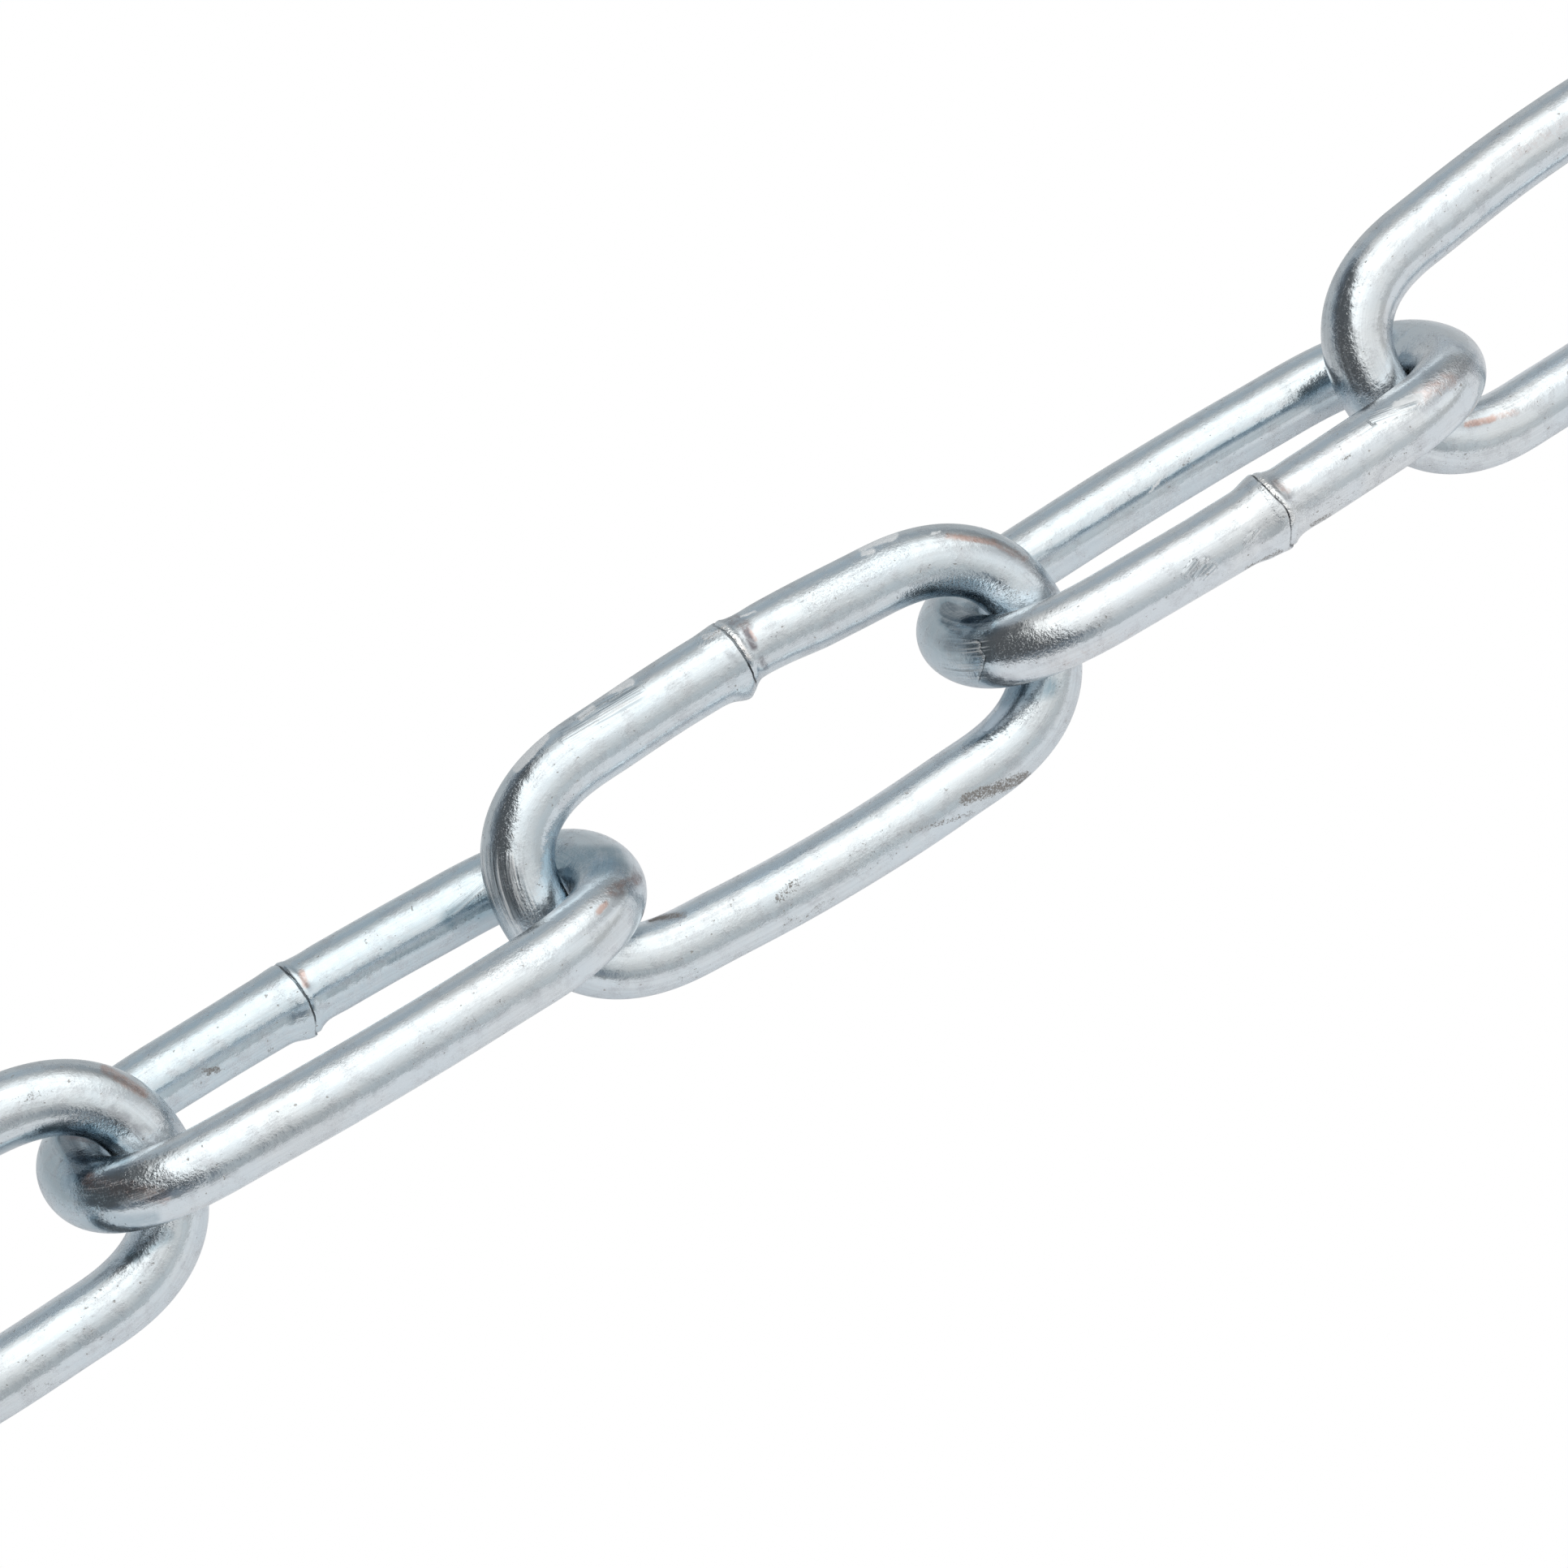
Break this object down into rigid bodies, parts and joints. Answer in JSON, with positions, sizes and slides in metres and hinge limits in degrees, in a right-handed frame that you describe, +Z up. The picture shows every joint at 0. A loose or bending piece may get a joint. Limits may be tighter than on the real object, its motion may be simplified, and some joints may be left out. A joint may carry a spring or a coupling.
{
  "type": "long-link steel chain",
  "caption": "One-metre length of straight long-link welded chain in bright zinc-plated steel, lying pulled out in a line, with every link free to swing on the next.",
  "frame": {"origin": "on the floor under the middle of the chain's length and width", "axes": "+X along the pulled-out chain, +Z up from the floor it lies on, +Y across it"},
  "size_m": [1.0202, 0.0236, 0.0194],
  "materials": {
    "zinc_plated_steel": "bright bluish-white electroplated zinc over drawn steel wire, satin gloss, with faint draw lines, handling scrapes and a slightly dull weld seam"
  },
  "bodies": {
    "link_01": {"link_01": "zinc_plated_steel"},
    "link_02": {"link_02": "zinc_plated_steel"},
    "link_03": {"link_03": "zinc_plated_steel"},
    "link_04": {"link_04": "zinc_plated_steel"},
    "link_05": {"link_05": "zinc_plated_steel"},
    "link_06": {"link_06": "zinc_plated_steel"},
    "link_07": {"link_07": "zinc_plated_steel"},
    "link_08": {"link_08": "zinc_plated_steel"},
    "link_09": {"link_09": "zinc_plated_steel"},
    "link_10": {"link_10": "zinc_plated_steel"},
    "link_11": {"link_11": "zinc_plated_steel"},
    "link_12": {"link_12": "zinc_plated_steel"},
    "link_13": {"link_13": "zinc_plated_steel"},
    "link_14": {"link_14": "zinc_plated_steel"},
    "link_15": {"link_15": "zinc_plated_steel"},
    "link_16": {"link_16": "zinc_plated_steel"},
    "link_17": {"link_17": "zinc_plated_steel"},
    "link_18": {"link_18": "zinc_plated_steel"},
    "link_19": {"link_19": "zinc_plated_steel"},
    "link_20": {"link_20": "zinc_plated_steel"},
    "link_21": {"link_21": "zinc_plated_steel"},
    "link_22": {"link_22": "zinc_plated_steel"},
    "link_23": {"link_23": "zinc_plated_steel"},
    "link_24": {"link_24": "zinc_plated_steel"}
  },
  "joints": [
    {"name": "hinge_01_02", "type": "hinge", "parent": "link_01", "child": "link_02", "pos_m": [-0.45873, 0.00012, 0.00932], "axis": [-0.0131, -0.6266, -0.7792], "range_deg": [-130, 130]},
    {"name": "hinge_02_03", "type": "hinge", "parent": "link_02", "child": "link_03", "pos_m": [-0.41673, -0.00045, 0.00907], "axis": [0.007, -0.6408, 0.7677], "range_deg": [-130, 130]},
    {"name": "hinge_03_04", "type": "hinge", "parent": "link_03", "child": "link_04", "pos_m": [-0.37473, 0.00017, 0.00921], "axis": [0.0063, 0.6606, 0.7507], "range_deg": [-130, 130]},
    {"name": "hinge_04_05", "type": "hinge", "parent": "link_04", "child": "link_05", "pos_m": [-0.33273, -0.00033, 0.00931], "axis": [0.0024, 0.658, -0.753], "range_deg": [-130, 130]},
    {"name": "hinge_05_06", "type": "hinge", "parent": "link_05", "child": "link_06", "pos_m": [-0.29073, -0.00013, 0.00962], "axis": [-0.0084, -0.6548, -0.7557], "range_deg": [-130, 130]},
    {"name": "hinge_06_07", "type": "hinge", "parent": "link_06", "child": "link_07", "pos_m": [-0.24873, 0, 0.00903], "axis": [-0.0065, -0.6629, 0.7487], "range_deg": [-130, 130]},
    {"name": "hinge_07_08", "type": "hinge", "parent": "link_07", "child": "link_08", "pos_m": [-0.20673, -0.00044, 0.009], "axis": [-0.0094, 0.655, 0.7555], "range_deg": [-130, 130]},
    {"name": "hinge_08_09", "type": "hinge", "parent": "link_08", "child": "link_09", "pos_m": [-0.16473, -0.00008, 0.00921], "axis": [-0.0077, 0.6151, -0.7884], "range_deg": [-130, 130]},
    {"name": "hinge_09_10", "type": "hinge", "parent": "link_09", "child": "link_10", "pos_m": [-0.12273, 0.00049, 0.00924], "axis": [0.0012, -0.7009, -0.7133], "range_deg": [-130, 130]},
    {"name": "hinge_10_11", "type": "hinge", "parent": "link_10", "child": "link_11", "pos_m": [-0.08073, 0.00069, 0.00912], "axis": [-0.0239, -0.6221, 0.7826], "range_deg": [-130, 130]},
    {"name": "hinge_11_12", "type": "hinge", "parent": "link_11", "child": "link_12", "pos_m": [-0.03873, -0.00075, 0.00926], "axis": [0.016, 0.5734, 0.8192], "range_deg": [-130, 130]},
    {"name": "hinge_12_13", "type": "hinge", "parent": "link_12", "child": "link_13", "pos_m": [0.00326, -0.00109, 0.00867], "axis": [0.0154, 0.6291, -0.7771], "range_deg": [-130, 130]},
    {"name": "hinge_13_14", "type": "hinge", "parent": "link_13", "child": "link_14", "pos_m": [0.04527, -0.00152, 0.00916], "axis": [-0.0032, -0.6088, -0.7934], "range_deg": [-130, 130]},
    {"name": "hinge_14_15", "type": "hinge", "parent": "link_14", "child": "link_15", "pos_m": [0.08727, -0.0011, 0.00867], "axis": [0.0388, -0.6006, 0.7986], "range_deg": [-130, 130]},
    {"name": "hinge_15_16", "type": "hinge", "parent": "link_15", "child": "link_16", "pos_m": [0.12923, 0.00196, 0.00893], "axis": [0.0067, 0.6428, 0.766], "range_deg": [-130, 130]},
    {"name": "hinge_16_17", "type": "hinge", "parent": "link_16", "child": "link_17", "pos_m": [0.17127, 0.00086, 0.00949], "axis": [0.0111, 0.6486, -0.761], "range_deg": [-130, 130]},
    {"name": "hinge_17_18", "type": "hinge", "parent": "link_17", "child": "link_18", "pos_m": [0.21327, -0.00009, 0.00929], "axis": [-0.0103, -0.6444, -0.7646], "range_deg": [-130, 130]},
    {"name": "hinge_18_19", "type": "hinge", "parent": "link_18", "child": "link_19", "pos_m": [0.25527, -0.00037, 0.00895], "axis": [-0.008, -0.6301, 0.7765], "range_deg": [-130, 130]},
    {"name": "hinge_19_20", "type": "hinge", "parent": "link_19", "child": "link_20", "pos_m": [0.29727, -0.00022, 0.00951], "axis": [0.0075, 0.6182, 0.786], "range_deg": [-130, 130]},
    {"name": "hinge_20_21", "type": "hinge", "parent": "link_20", "child": "link_21", "pos_m": [0.33927, 0.00006, 0.00889], "axis": [0.0134, 0.6558, -0.7548], "range_deg": [-130, 130]},
    {"name": "hinge_21_22", "type": "hinge", "parent": "link_21", "child": "link_22", "pos_m": [0.38127, -0.00042, 0.00921], "axis": [-0.0043, -0.6099, -0.7924], "range_deg": [-130, 130]},
    {"name": "hinge_22_23", "type": "hinge", "parent": "link_22", "child": "link_23", "pos_m": [0.42327, -0.00056, 0.0091], "axis": [-0.0053, -0.6508, 0.7593], "range_deg": [-130, 130]},
    {"name": "hinge_23_24", "type": "hinge", "parent": "link_23", "child": "link_24", "pos_m": [0.46527, -0.00055, 0.0094], "axis": [0, 0.6428, 0.766], "range_deg": [-130, 130]}
  ]
}
